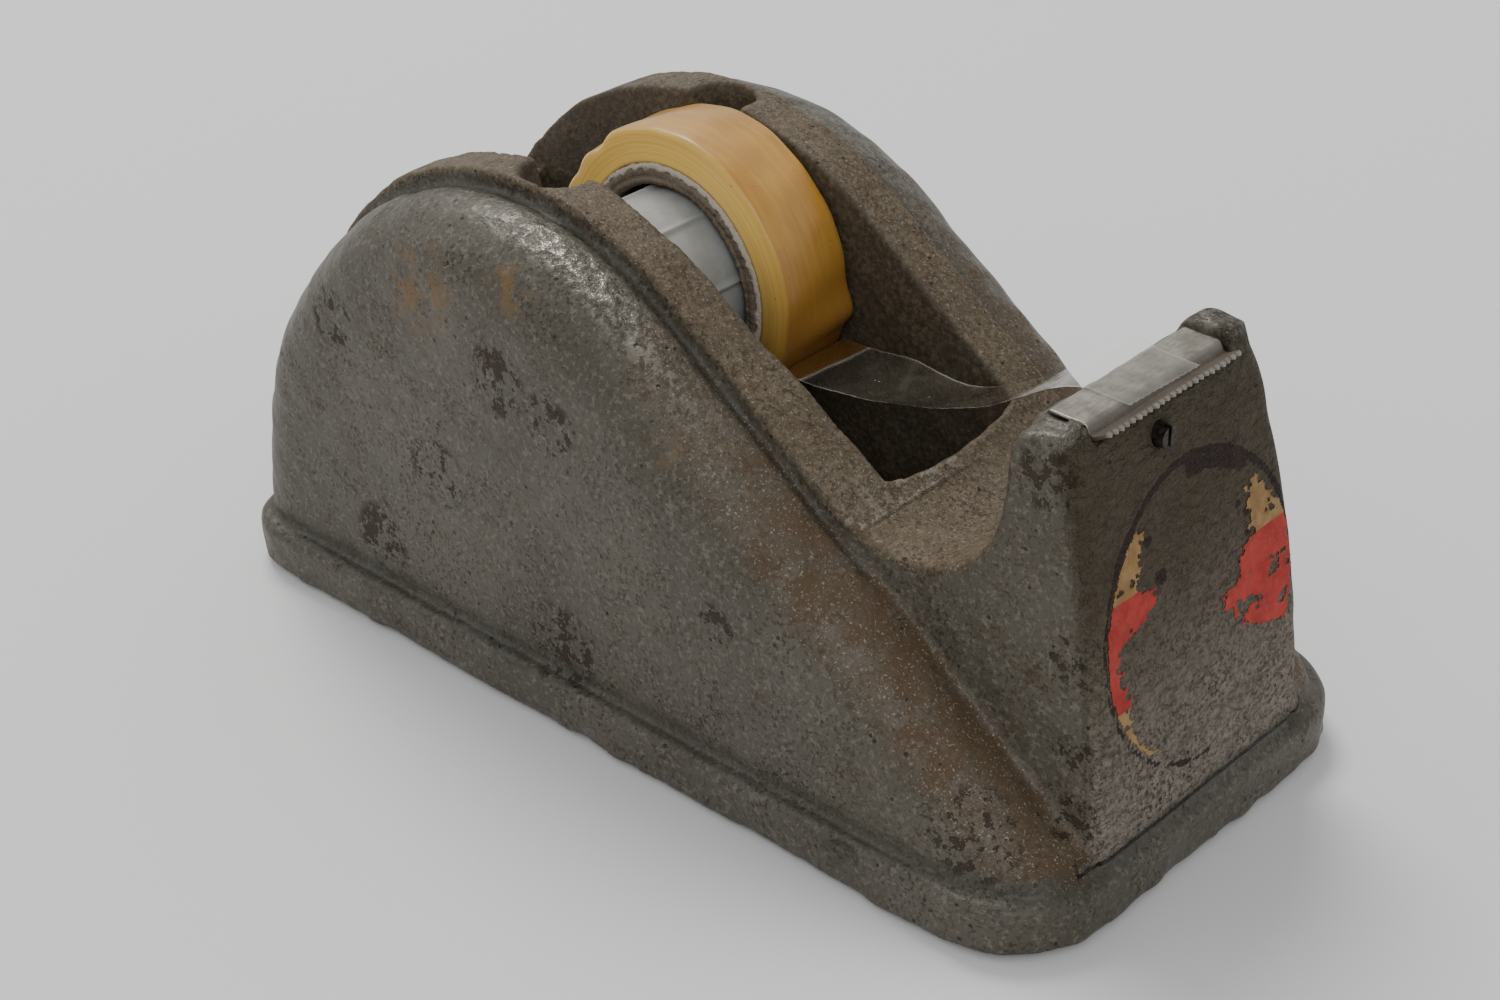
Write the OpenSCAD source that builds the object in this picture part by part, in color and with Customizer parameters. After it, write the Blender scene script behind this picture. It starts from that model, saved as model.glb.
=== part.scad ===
// Heavy cast desk tape dispenser: a low flange, two cheeks with rounded shoulders, a centre
// slab that carries the roll bay, and a tower with a serrated cutter at the front.
// +X points to the cutter, +Z up, the roll turns about Y. Origin: middle of the footprint,
// on the desk.

/* [Foot and flange] */
// Length of the flange along X
flange_l = 144; // [140:1:150]
// Width of the flange across Y
flange_w = 70; // [68:1:74]
// Height of the flange above the casting's bottom edge
flange_h = 6.7; // [6:0.1:8]
// Plan radius of the two front corners of the flange
front_corner_r = 14; // [12:0.5:15]
// Plan radius of the two rear corners of the flange
back_corner_r = 11; // [9:0.5:14]
// Height at which the pad holds the casting off the desk
pad_proud = 0.8; // [0.4:0.1:1.5]

/* [Side outline] */
// X of the centre of the round back
dome_x = -20.7; // [-23:0.1:-18]
// Height of the centre of the round back
dome_z = 22; // [20:0.5:24]
// Radius of the round back on the centre slab
dome_r = 45.1; // [44:0.1:47]
// Angle below horizontal of the straight run to the front
slope_deg = 36.3; // [34:0.1:38]
// Angle of the slab's lower back wall from vertical
back_flare_deg = 15; // [8:1:18]

/* [Cheeks] */
// Overall width over the two cheeks
cheek_w = 66; // [64:0.5:67]
// How far the cheeks lie below the centre slab
cheek_drop = 2; // [1:0.1:3]
// Angle of the cheeks' lower back wall from vertical
cheek_flare_deg = 12; // [9:1:15]
// Radius of the cheeks' fuller back, from 45 degrees down to the flared wall
cheek_back_r = 62.3; // [60:0.1:65]
// Rounding of the outer shoulder
shoulder_r = 10; // [8:0.5:12]
// Width of the centre slab
slab_w = 40.8; // [39:0.2:43]

/* [Tower] */
// Height of the tower above the casting's bottom edge
tower_h = 60; // [58:0.5:62]
// Tower width at the foot
tower_foot_w = 44.2; // [42:0.2:46]
// Tower width at the top
tower_top_w = 37; // [34:0.5:39]
// X of the rear face of the tower
tower_back_x = 52.8; // [51.5:0.1:54]
// Radius of the hollow between slope and tower
saddle_r = 13; // [11:0.5:14]
// Radius of the slightly bowed front face
front_bow_r = 280; // [240:10:320]

/* [Roll bay] */
// Clear width between the cheeks
bay_w = 26.8; // [26.4:0.1:28]
// Radius of the bay floor around the roll axis
bay_r = 38; // [34:0.5:40]
// X of the bay's rear wall
bay_back_x = -59; // [-60:0.5:-56]
// X of the bay's front wall at its middle
bay_front_x = 32.7; // [31:0.1:33.5]
// X of the roll axis at rest
axis_x = -15.3; // [-18:0.1:-14]
// Height of the roll axis above the casting's bottom edge
axis_h = 47.5; // [46:0.5:50]
// Backward lean of the two axle slots
slot_lean_deg = 13; // [0:1:15]
// Half width of an axle slot
slot_r = 4.7; // [4.5:0.1:5]
// Reach of a slot from the middle plane
slot_reach = 19.4; // [18:0.1:20]

/* [Spool] */
// Radius of the axle pin
pin_r = 4.2; // [4:0.05:4.3]
// Length of the axle pin
pin_l = 32; // [30:0.5:33]
// Length of the hub drum
hub_l = 25.4; // [25:0.1:26]
// Radius of the hub drum between its ribs
hub_r = 12.2; // [12:0.05:12.4]
// Number of ribs along the drum
rib_n = 8; // [6:1:12]
// Bore radius of the tape core
core_in_r = 12.7; // [12.7:0.05:12.8]
// Outer radius of the tape core
core_out_r = 15.6; // [15:0.1:16.2]
// Outer radius of the wound tape
roll_r = 19.6; // [19:0.1:21]
// Width of the tape
tape_w = 12.7; // [12:0.1:13]

/* [Cutter] */
// Width of the cutter
blade_w = 25.4; // [24:0.1:25.6]
// Sheet thickness of the cutter
blade_t = 0.6; // [0.5:0.1:0.8]
// Number of teeth
tooth_n = 24; // [20:1:28]
// Radius of the screw hole below the cutter
grub_r = 1.4; // [1.2:0.1:2]

/* [Hidden] */
$fn = 96;
eps = 0.01;
iron = [0.42, 0.40, 0.38];
steel = [0.72, 0.70, 0.66];
red = [0.70, 0.16, 0.14];

// Body plan: the flange less its narrow ledge.
ledge = (flange_w - cheek_w) / 2;
body_l = flange_l - 2 * ledge;
body_front_x = body_l / 2;
cheek_r = dome_r - cheek_drop;

// Outward direction of the straight slope, and the point where the slab's round back meets it.
slope_n = [sin(slope_deg), cos(slope_deg)];
slab_tangent = [dome_x, dome_z] + dome_r * slope_n;
function slope_z(x) = slab_tangent[1] - (x - slab_tangent[0]) * tan(slope_deg);

// The saddle's circle touches the slope and the tower's rear face.
saddle_x = tower_back_x - saddle_r;
saddle_z = dome_z + (dome_r + saddle_r - (saddle_x - dome_x) * slope_n[0]) / slope_n[1];

// The front face is an arc whose centre lies far behind and a little below the foot.
front_foot_x = body_front_x + 0.2;
front_drop_z = -15;
front_arc_x = front_foot_x - sqrt(front_bow_r * front_bow_r - pow(flange_h - front_drop_z, 2));
function front_x(z) = front_arc_x + sqrt(front_bow_r * front_bow_r - pow(z - front_drop_z, 2));

// Base plate, pad and their screws.
recess_d = 2.2;
recess_l = flange_l - 12;
recess_w = flange_w - 12;
recess_corner_r = 8;
plate_t = 1.2;
pad_t = recess_d - plate_t + pad_proud;
screw_x = 52;
screw_y = 23;
screw_r = 1.9;
screw_l = 9;
head_r = 3.8;

// Cutter: rear edge, front bend, toothed edge.
blade_back_x = 55.3;
blade_bend_x = 60.2;
blade_tip_x = 63.4;
blade_z = tower_h - 0.8;
blade_step = 1.3;
tooth_l = 0.8;
tang_w = 14;
tang_t = 0.8;
tang_d = 9;
tang_x = 58.6;
grub_y = -1.6;
grub_z = 53.9;

// Remains of the round label.
label_r = 18.2;
label_y = 2;
label_z = 30.9;
label_t = 0.12;

// Route of the free tape: x, height, middle y. It sags, then climbs to the cutter.
tail_route = [[4.6, 40.4, 6.35], [10, 40.7, 5.9], [16, 41.5, 5.0], [22, 42.9, 4.0], [28, 44.8, 3.0],
              [34, 47.5, 2.0], [40, 51.0, 1.1], [46, 54.8, 0.5], [51, 57.7, 0.1], [55, 59.45, -0.1],
              [58, 59.6, -0.2], [61.2, 59.5, -0.3]];
tail_t = 0.2;

// Everything cast or fastened to the casting stands on the pad.
module stand() { translate([0, 0, pad_proud]) children(); }
// Turns an outline drawn in X and height into a solid of width w centred on Y = 0.
module across(w) { rotate([90, 0, 0]) translate([0, 0, -w / 2]) linear_extrude(w) children(); }
// A cylinder of width w along Y, centred at x and z.
module barrel(x, z, r, w) { translate([x, w / 2, z]) rotate([90, 0, 0]) cylinder(r = r, h = w); }

// A rectangle of size l by w whose rounded corners have radius rf in front and rb behind.
module plan(l, w, rf, rb) {
    union() {
        translate([0, -w / 2 + rf]) square([l / 2, w - 2 * rf]);
        translate([0, -w / 2]) square([l / 2 - rf, w]);
        translate([-l / 2, -w / 2 + rb]) square([l / 2, w - 2 * rb]);
        translate([-l / 2 + rb, -w / 2]) square([l / 2 - rb, w]);
        for (sy = [-1, 1]) {
            translate([l / 2 - rf, sy * (w / 2 - rf)]) circle(rf);
            translate([-l / 2 + rb, sy * (w / 2 - rb)]) circle(rb);
        }
    }
}

// Half section of a disc with a rounded rim, turned about the dome's axis.
module rounded_disc(r, w, round_r) {
    rotate([90, 0, 0]) rotate_extrude($fn = 72) {
        translate([0, -w / 2 + round_r]) square([r, w - 2 * round_r]);
        translate([0, -w / 2]) square([r - round_r, w]);
        for (s = [-1, 1]) translate([r - round_r, s * (w / 2 - round_r)]) circle(round_r, $fn = 32);
    }
}

// A bar across the body with rounded ends and edges, for the foot of the slope and the back.
module rounded_bar(x, z, r) {
    translate([x, 0, z]) for (s = [-1, 1])
        translate([0, s * (cheek_w / 2 - r), 0]) sphere(r, $fn = 32);
}

// The cheeks' outline is the dome's arc, a flatter arc behind it and two straight runs.
module cheeks() {
    dome_c = [dome_x, dome_z];
    back_c = dome_c + (cheek_back_r - cheek_r) * [cos(45), -sin(45)];
    front_end_x = body_front_x + 6;
    front_c = dome_c + (cheek_r - shoulder_r) * slope_n;
    back_end = back_c + (cheek_back_r - shoulder_r) * [-cos(cheek_flare_deg), sin(cheek_flare_deg)];
    intersection() {
        hull() {
            translate([dome_x, 0, dome_z]) rounded_disc(cheek_r, cheek_w, shoulder_r);
            for (i = [0:6]) {
                a = 135 + i * (45 - cheek_flare_deg) / 6;
                c = back_c + (cheek_back_r - shoulder_r) * [cos(a), sin(a)];
                rounded_bar(c[0], c[1], shoulder_r);
            }
            rounded_bar(back_end[0] - (back_end[1] + 4) * tan(cheek_flare_deg), -4, shoulder_r);
            rounded_bar(front_end_x, front_c[1] - (front_end_x - front_c[0]) * tan(slope_deg),
                        shoulder_r);
        }
        translate([0, 0, flange_h / 2]) linear_extrude(dome_z + dome_r)
            plan(body_l, cheek_w, front_corner_r - ledge, back_corner_r - ledge);
    }
}

// One corner of the flange: a disc with a rounded top edge.
module flange_corner(r) {
    edge_r = 2.4;
    rotate_extrude($fn = 48) {
        square([r, flange_h - edge_r]);
        square([r - edge_r, flange_h]);
        translate([r - edge_r, flange_h - edge_r]) circle(edge_r, $fn = 24);
    }
}

module flange() {
    hull() for (sy = [-1, 1]) {
        translate([flange_l / 2 - front_corner_r, sy * (flange_w / 2 - front_corner_r), 0])
            flange_corner(front_corner_r);
        translate([-flange_l / 2 + back_corner_r, sy * (flange_w / 2 - back_corner_r), 0])
            flange_corner(back_corner_r);
    }
}

// Side view of the slab: round back, straight slope, saddle and tower.
module slab_outline() {
    difference() {
        union() {
            translate([dome_x, dome_z]) circle(dome_r);
            polygon([[dome_x, flange_h / 2], [dome_x, dome_z], slab_tangent,
                     [tower_back_x, slope_z(tower_back_x)], [tower_back_x, flange_h / 2]]);
            polygon([[dome_x, flange_h / 2], [dome_x - dome_r * sin(75), dome_z + dome_r * cos(75)],
                     [dome_x - dome_r, flange_h / 2]]);
            polygon([[saddle_x, flange_h / 2], [saddle_x, saddle_z], [tower_back_x, saddle_z],
                     [tower_back_x + 0.8, tower_h], [front_foot_x, tower_h],
                     [front_foot_x, flange_h / 2]]);
        }
        translate([saddle_x, saddle_z]) circle(saddle_r);
        translate([-flange_l, -flange_l + flange_h / 2]) square([2 * flange_l, flange_l]);
    }
}

module slab() {
    intersection() {
        across(tower_foot_w) slab_outline();
        union() {
            translate([-flange_l / 2, -slab_w / 2, 0]) cube([flange_l / 2 + saddle_x, slab_w, 80]);
            translate([saddle_x - eps, 0, 0]) rotate([90, 0, 90]) linear_extrude(flange_l / 2)
                polygon([[-tower_foot_w / 2, 0], [tower_foot_w / 2, 0],
                         [tower_top_w / 2, tower_h], [-tower_top_w / 2, tower_h]]);
        }
        across(flange_w) translate([front_arc_x, front_drop_z]) circle(front_bow_r, $fn = 400);
    }
}

// The bay's side view. Its floor follows the roll and its front wall drops from the lip.
module bay_outline() {
    foot = [axis_x + bay_r * sin(40), axis_h - bay_r * cos(40)];
    intersection() {
        union() {
            translate([axis_x, axis_h]) circle(bay_r);
            polygon([[axis_x, axis_h], foot, [bay_front_x, 26], [bay_front_x, 80],
                     [bay_back_x - 8, 80], [bay_back_x - 8, axis_h]]);
        }
        translate([bay_back_x, 0]) square([100, 80]);
    }
}

module bay() {
    bow = 1.7;
    bow_r = (pow(bay_w / 2, 2) + bow * bow) / (2 * bow);
    intersection() {
        across(bay_w) bay_outline();
        union() {
            translate([bay_front_x - bow_r, 0, 0]) cylinder(r = bow_r, h = 90, $fn = 200);
            translate([bay_back_x - 1, -bay_w, 0]) cube([60, 2 * bay_w, 90]);
        }
    }
}

// The two blind slots, as one cut through the bay, open at the top and round at the bottom.
module axle_slots() {
    translate([axis_x, 0, axis_h]) rotate([0, -slot_lean_deg, 0]) intersection() {
        translate([0, 0, -slot_r]) linear_extrude(60) union() {
            square([2 * slot_r, 2 * (slot_reach - slot_r)], center = true);
            for (s = [-1, 1]) translate([0, s * (slot_reach - slot_r)]) circle(slot_r);
        }
        union() {
            barrel(0, 0, slot_r, 2 * slot_reach);
            translate([-slot_r, -slot_reach, 0]) cube([2 * slot_r, 2 * slot_reach, 60]);
        }
    }
}

// The tower is cored from below, with a wall all round.
module tower_core() {
    wall = 6;
    intersection() {
        translate([saddle_x - 2, -tower_top_w / 2 + wall, 0])
            cube([front_x(30) - wall - saddle_x, tower_top_w - 2 * wall, 46]);
        across(tower_top_w) difference() {
            translate([saddle_x - 6, 0]) square([40, 60]);
            translate([saddle_x, saddle_z]) circle(saddle_r + wall);
        }
    }
}

module at_screws() {
    for (sx = [-1, 1], sy = [-1, 1]) translate([sx * screw_x, sy * screw_y, 0]) children();
}

module body_casting() {
    color(iron) stand() difference() {
        union() {
            flange();
            cheeks();
            slab();
        }
        bay();
        axle_slots();
        tower_core();
        translate([0, 0, -eps]) linear_extrude(recess_d + eps)
            plan(recess_l, recess_w, recess_corner_r, recess_corner_r);
        at_screws() cylinder(r = screw_r + 0.05, h = recess_d + screw_l, $fn = 32);
        // seat of the cutter, slot of its tang, and the screw hole through the front face
        translate([tower_back_x - 2, -blade_w / 2 - 0.3, blade_z - blade_t])
            cube([20, blade_w + 0.6, 5]);
        translate([tower_back_x - 2, -blade_w / 2 - 0.3, blade_z - blade_t - 0.3])
            cube([blade_back_x + 0.3 - tower_back_x + 2, blade_w + 0.6, 5]);
        translate([blade_bend_x - 0.4, -blade_w / 2 - 0.3, blade_z - blade_t - blade_step - 0.1])
            cube([20, blade_w + 0.6, 5]);
        translate([tang_x - 0.1, -tang_w / 2 - 0.2, blade_z - tang_d - 0.3])
            cube([tang_t + 0.2, tang_w + 0.4, tang_d + 1]);
        translate([tang_x, grub_y, grub_z]) rotate([0, 90, 0])
            cylinder(r = grub_r, h = 12, $fn = 32);
    }
}

module base_plate() {
    color([0.35, 0.34, 0.33]) stand() translate([0, 0, recess_d - plate_t]) difference() {
        linear_extrude(plate_t)
            plan(recess_l - 0.6, recess_w - 0.6, recess_corner_r - 0.3, recess_corner_r - 0.3);
        at_screws() {
            translate([0, 0, -eps]) cylinder(r = screw_r + 0.3, h = plate_t + 1, $fn = 32);
            translate([0, 0, -eps])
                cylinder(r1 = head_r + 0.1, r2 = screw_r + 0.3, h = plate_t, $fn = 32);
        }
    }
}

// Countersunk screws through the base plate, with a cross-cut driver slot.
module base_screws() {
    color(steel) stand() at_screws() translate([0, 0, recess_d - plate_t]) difference() {
        union() {
            cylinder(r1 = head_r, r2 = screw_r, h = plate_t, $fn = 32);
            cylinder(r = screw_r, h = screw_l, $fn = 32);
        }
        translate([-head_r, -0.4, -eps]) cube([2 * head_r, 0.8, 0.6]);
    }
}

module felt_pad() {
    color([0.15, 0.24, 0.18]) linear_extrude(pad_t - 0.02)
        plan(recess_l - 1.4, recess_w - 1.4, recess_corner_r - 0.7, recess_corner_r - 0.7);
}

// Cutter: flat seat with a turned-down rear lip, a step, a rising ledge and the teeth.
module cutter_blade() {
    step_z = blade_z - blade_step;
    pitch = blade_w / tooth_n;
    ledge_x = blade_tip_x - tooth_l;
    color(steel) stand() union() {
        across(blade_w) polygon([
            [blade_back_x - 0.5, blade_z - 0.5], [blade_back_x, blade_z],
            [blade_bend_x, blade_z], [blade_bend_x + 0.5, step_z],
            [ledge_x, step_z + 0.85], [ledge_x, step_z + 0.85 - blade_t],
            [blade_bend_x + 0.1, step_z - blade_t], [blade_bend_x - 0.2, blade_z - blade_t],
            [blade_back_x + 0.1, blade_z - blade_t], [blade_back_x - 0.2, blade_z - 0.75]]);
        translate([ledge_x, -blade_w / 2, step_z + 0.85 - blade_t]) linear_extrude(blade_t)
            polygon(concat([[-0.1, blade_w], [-0.1, 0]],
                           [for (i = [0:tooth_n - 1], k = [0, 1])
                               [k * tooth_l, (i + k / 2) * pitch]],
                           [[0, blade_w]]));
        translate([tang_x, -tang_w / 2, blade_z - tang_d]) cube([tang_t, tang_w, tang_d - 0.1]);
    }
}

// Slotted set screw that clamps the tang, sunk in its hole in the front face.
module blade_screw() {
    len = 4.2;
    color(steel) stand() translate([tang_x + tang_t, grub_y, grub_z]) rotate([0, 90, 0])
        difference() {
            cylinder(r = grub_r - 0.05, h = len, $fn = 32);
            translate([-grub_r, -0.3, len - 0.9]) cube([2 * grub_r, 0.6, 1]);
        }
}

// A label scrap is the part of the round label inside an outline, lying on the front face.
module label_scrap() {
    stand() intersection() {
        across(flange_w) translate([front_arc_x, front_drop_z]) difference() {
            circle(front_bow_r + label_t, $fn = 400);
            circle(front_bow_r, $fn = 400);
        }
        translate([front_x(60), label_y, label_z]) rotate([90, 0, 90]) linear_extrude(20)
            intersection() {
                circle(label_r);
                children();
            }
    }
}

module label_left() {
    color(red) label_scrap()
        polygon([[-19, 8], [-14, 14], [-9.7, 13.8], [-8.9, 12.2], [-10.2, 10.6], [-11.1, 7.3],
                 [-7.8, 5.7], [-9.6, 3.5], [-12.5, 3], [-15.6, 1.8], [-15, -1], [-15.8, -1.7],
                 [-14.5, -4], [-14.3, -5.8], [-14.8, -7.6], [-13.4, -11], [-10.5, -13],
                 [-12, -18], [-19, -18]]);
}

module label_right() {
    color(red) label_scrap()
        polygon([[10.5, 11.8], [12.3, 11.2], [14.3, 8.3], [16.5, 6.6], [19, 5.5], [19, -7.5],
                 [13, -7.7], [8.7, -5.7], [4.8, -2.1], [3.4, -0.3], [7.4, -0.2], [8, 3.8],
                 [10.4, 3.6], [10.5, 5], [10.2, 6.6], [10.4, 9.2]]);
}

// Free tape from the roll to the cutter, a thin strip swept along its route.
module tape_tail() {
    n = len(tail_route);
    function dir(i) = tail_route[min(i + 1, n - 1)] - tail_route[max(i - 1, 0)];
    function up(i) = [-dir(i)[1], dir(i)[0]] / norm([dir(i)[0], dir(i)[1]]) * tail_t / 2;
    function corner(i, sy, su) = [tail_route[i][0] + su * up(i)[0],
                                  tail_route[i][2] + sy * tape_w / 2,
                                  tail_route[i][1] + su * up(i)[1]];
    ring = [[-1, -1], [1, -1], [1, 1], [-1, 1]];
    color([0.8, 0.78, 0.7]) stand() polyhedron(
        points = [for (i = [0:n - 1], k = ring) corner(i, k[0], k[1])],
        faces = concat([[0, 1, 2, 3]],
                       [[for (k = [3:-1:0]) 4 * (n - 1) + k]],
                       [for (i = [0:n - 2], k = [0:3])
                           [4 * i + k, 4 * i + 4 + k, 4 * i + 4 + (k + 1) % 4, 4 * i + (k + 1) % 4]]),
        convexity = 4);
}

module at_axis() { translate([axis_x, 0, axis_h + pad_proud]) children(); }
module tube(y0, y1, r0, r1) {
    translate([0, y1, 0]) rotate([90, 0, 0]) difference() {
        cylinder(r = r1, h = y1 - y0);
        translate([0, 0, -1]) cylinder(r = r0, h = y1 - y0 + 2);
    }
}

module axle_pin() {
    chamfer = 0.8;
    color(steel) at_axis() rotate([90, 0, 0]) union() {
        cylinder(r = pin_r, h = pin_l - 2 * chamfer, center = true);
        for (s = [0, 1]) mirror([0, 0, s]) translate([0, 0, pin_l / 2 - chamfer])
            cylinder(r1 = pin_r, r2 = pin_r - chamfer, h = chamfer);
    }
}

bush_r = 10.4;
bush_l = 4;
module hub_drum() {
    rib_h = core_in_r - hub_r - 0.05;
    color([0.62, 0.67, 0.64]) at_axis() union() {
        tube(-hub_l / 2, hub_l / 2, bush_r, hub_r);
        for (i = [0:rib_n - 1]) rotate([0, (i + 0.62) * 360 / rib_n, 0])
            translate([hub_r - 0.2, -hub_l / 2 + 0.4, -0.5]) cube([rib_h + 0.2, hub_l - 0.8, 1]);
    }
}

module hub_bush(s) {
    y = s * (hub_l / 2 - bush_l / 2 - 0.6);
    color([0.55, 0.60, 0.58]) at_axis()
        tube(y - bush_l / 2, y + bush_l / 2, pin_r + 0.05, bush_r - 0.02);
}
module hub_bush_near() { hub_bush(-1); }
module hub_bush_far() { hub_bush(1); }

module tape_core() {
    color([0.62, 0.54, 0.42]) at_axis() tube(-0.3, tape_w, core_in_r, core_out_r);
}

module tape_roll() {
    color([0.85, 0.62, 0.20]) at_axis() tube(0, tape_w - 0.1, core_out_r + 0.02, roll_r);
}

body_casting();
base_plate();
base_screws();
felt_pad();
cutter_blade();
blade_screw();
label_left();
label_right();
tape_tail();
axle_pin();
hub_drum();
hub_bush_near();
hub_bush_far();
tape_core();
tape_roll();
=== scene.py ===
import math

import bmesh
import bpy
import numpy as np
from mathutils import Matrix, Vector


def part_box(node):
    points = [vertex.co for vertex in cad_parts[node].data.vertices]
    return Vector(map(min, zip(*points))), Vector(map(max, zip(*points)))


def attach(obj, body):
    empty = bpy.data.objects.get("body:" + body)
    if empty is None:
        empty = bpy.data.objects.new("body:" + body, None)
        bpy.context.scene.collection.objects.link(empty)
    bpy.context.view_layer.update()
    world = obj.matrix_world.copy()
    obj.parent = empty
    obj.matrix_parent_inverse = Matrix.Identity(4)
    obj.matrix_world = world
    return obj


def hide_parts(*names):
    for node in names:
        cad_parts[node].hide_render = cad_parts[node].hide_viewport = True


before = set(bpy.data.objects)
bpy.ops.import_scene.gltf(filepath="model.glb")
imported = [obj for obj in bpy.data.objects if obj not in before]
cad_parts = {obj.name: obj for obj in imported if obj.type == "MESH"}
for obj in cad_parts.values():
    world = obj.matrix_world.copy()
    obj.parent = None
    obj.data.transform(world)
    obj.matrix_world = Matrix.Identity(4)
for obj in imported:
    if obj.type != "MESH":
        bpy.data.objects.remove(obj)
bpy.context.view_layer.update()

MM = 0.001

# ---------------- places taken from the frame, mm
cast_low, cast_high = (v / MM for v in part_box("body_casting"))
roll_low, roll_high = (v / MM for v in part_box("tape_roll"))
FOOT = cast_low.z
FLANGE_L, FLANGE_W = cast_high.x - cast_low.x, cast_high.y - cast_low.y
AXIS_X, AXIS_Z = (roll_low.x + roll_high.x) / 2, (roll_low.z + roll_high.z) / 2 - FOOT
ROLL_FAR = roll_high.y

# ---------------- the casting's own dimensions, mm
# heights are above the casting's bottom edge
FLANGE_H, FRONT_CORNER, BACK_CORNER, FLANGE_EDGE = 6.7, 14.0, 11.0, 1.7
LEDGE, CHEEK_W, SHOULDER = 2.0, 66.0, 10.5
DOME_X, DOME_Z, DOME_R, CHEEK_R, CHEEK_BACK_R = -20.7, 22.0, 45.1, 42.8, 62.3
SLOPE, SLAB_FLARE, CHEEK_FLARE = math.radians(36.3), math.radians(15), math.radians(12)
SLAB_W, TOWER_NEAR, TOWER_FAR = 40.8, (21.2, 17.6), (22.6, 19.6)
TOWER_H, TOWER_BACK, SADDLE_R = 60.0, 52.8, 13.0
FRONT_BOW, FRONT_DROP = 280.0, -15.0
BAY_W, BAY_R, BAY_BACK, BAY_FRONT, BAY_BOW = 26.8, 38.0, -59.0, 31.6, 1.7
SLOT_R, SLOT_REACH, SLOT_LEAN = 4.4, 19.2, math.radians(13)
BLADE_BACK, BLADE_BEND, BLADE_TIP, BLADE_W = 55.3, 60.2, 63.4, 25.4
BLADE_Z, BLADE_STEP, GRUB_Y, GRUB_Z, GRUB_R = 59.2, 1.3, -1.6, 53.9, 1.4
LABEL_R, LABEL_Y, LABEL_Z = 18.2, 2.0, 30.9
SEAM_END, SEAM_GAP = 36, 0.5
TANG_LOW, TANG_HIGH = (58.6, -7, BLADE_Z - 9), (59.4, 7, BLADE_Z - 0.3)

SADDLE_X = TOWER_BACK - SADDLE_R
SADDLE_Z = DOME_Z + (DOME_R + SADDLE_R - (SADDLE_X - DOME_X) * math.sin(SLOPE)) / math.cos(SLOPE)
FRONT_FOOT = FLANGE_L / 2 - LEDGE + 0.2
FRONT_ARC = FRONT_FOOT - math.sqrt(FRONT_BOW**2 - (FLANGE_H - FRONT_DROP) ** 2)


def front_x(z):
    """X of the tower's bowed front face at height z."""
    return FRONT_ARC + np.sqrt(FRONT_BOW**2 - (z - FRONT_DROP) ** 2)


# ---------------- signed distances
def round_max(a, b, r):
    """Intersection of two solids, its edge rounded to r."""
    corner = np.hypot(np.maximum(a + r, 0), np.maximum(b + r, 0))
    return np.minimum(np.maximum(a, b), -r) + corner


def round_min(a, b, r):
    """Union of two solids with a fillet of radius r."""
    corner = np.hypot(np.maximum(r - a, 0), np.maximum(r - b, 0))
    return np.maximum(np.minimum(a, b), r) - corner


def step(x, low, high):
    """0 below low, 1 above high, smooth between."""
    t = np.clip((x - low) / (high - low), 0, 1)
    return t * t * (3 - 2 * t)


def bell(x, middle, width):
    """A smooth bump of height 1 at middle."""
    return np.exp(-(((x - middle) / width) ** 2))


def plan(x, y, length, width, front, back):
    """A rectangle seen from above, with front and back corner radii."""
    r = np.where(x > 0, front, back)
    qx, qy = np.abs(x) - length / 2 + r, np.abs(y) - width / 2 + r
    return np.hypot(np.maximum(qx, 0), np.maximum(qy, 0)) + np.minimum(np.maximum(qx, qy), 0) - r


def outline(x, z, r, back_r, turn, flare):
    """Side outline: a straight slope in front of a round top, then a flatter arc and a flared wall."""
    px, pz = x - DOME_X, z - DOME_Z
    slope = px * math.sin(SLOPE) + pz * math.cos(SLOPE) - r
    on_slope = px * math.cos(SLOPE) - pz * math.sin(SLOPE) > 0
    top = np.hypot(px, pz) - r
    on_back = -px * math.cos(turn) - pz * math.sin(turn) > 0
    bx, bz = px - (back_r - r) * math.sin(turn), pz + (back_r - r) * math.cos(turn)
    arc = np.hypot(bx, bz) - back_r
    wall = -bx * math.cos(flare) + bz * math.sin(flare) - back_r
    on_wall = -bx * math.sin(flare) - bz * math.cos(flare) > 0
    back = np.where(on_wall, wall, arc)
    both = np.maximum(slope, back)
    return np.where(on_slope & on_back, both, np.where(on_slope, slope, np.where(on_back, back, top)))


def dome(x, z):
    """Side outline of the slab between the cheeks."""
    return outline(x, z, DOME_R, DOME_R + 0.01, math.radians(60), SLAB_FLARE)


def cheek_side(x, z):
    """Side outline of the two cheeks, a little inside the slab's."""
    return outline(x, z, CHEEK_R, CHEEK_BACK_R, math.radians(39), CHEEK_FLARE)


def saddle_fillet(x, z):
    """The wedge between slope and tower, below the saddle's circle."""
    t1 = np.array([SADDLE_X - SADDLE_R * math.sin(SLOPE), SADDLE_Z - SADDLE_R * math.cos(SLOPE)])
    t2 = np.array([TOWER_BACK, SADDLE_Z])
    along = (t2 - t1) / np.linalg.norm(t2 - t1)
    above = -(x - t1[0]) * along[1] + (z - t1[1]) * along[0]
    return np.maximum(SADDLE_R - np.hypot(x - SADDLE_X, z - SADDLE_Z), above)


def cheeks(x, y, z):
    """The broad round-shouldered part, as wide as both cheeks."""
    side = round_max(cheek_side(x, z), np.abs(y) - CHEEK_W / 2, SHOULDER)
    ends = plan(x, y, FLANGE_L - 2 * LEDGE, CHEEK_W, FRONT_CORNER - LEDGE, BACK_CORNER - LEDGE)
    return round_max(side, ends, 2.5)


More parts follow.
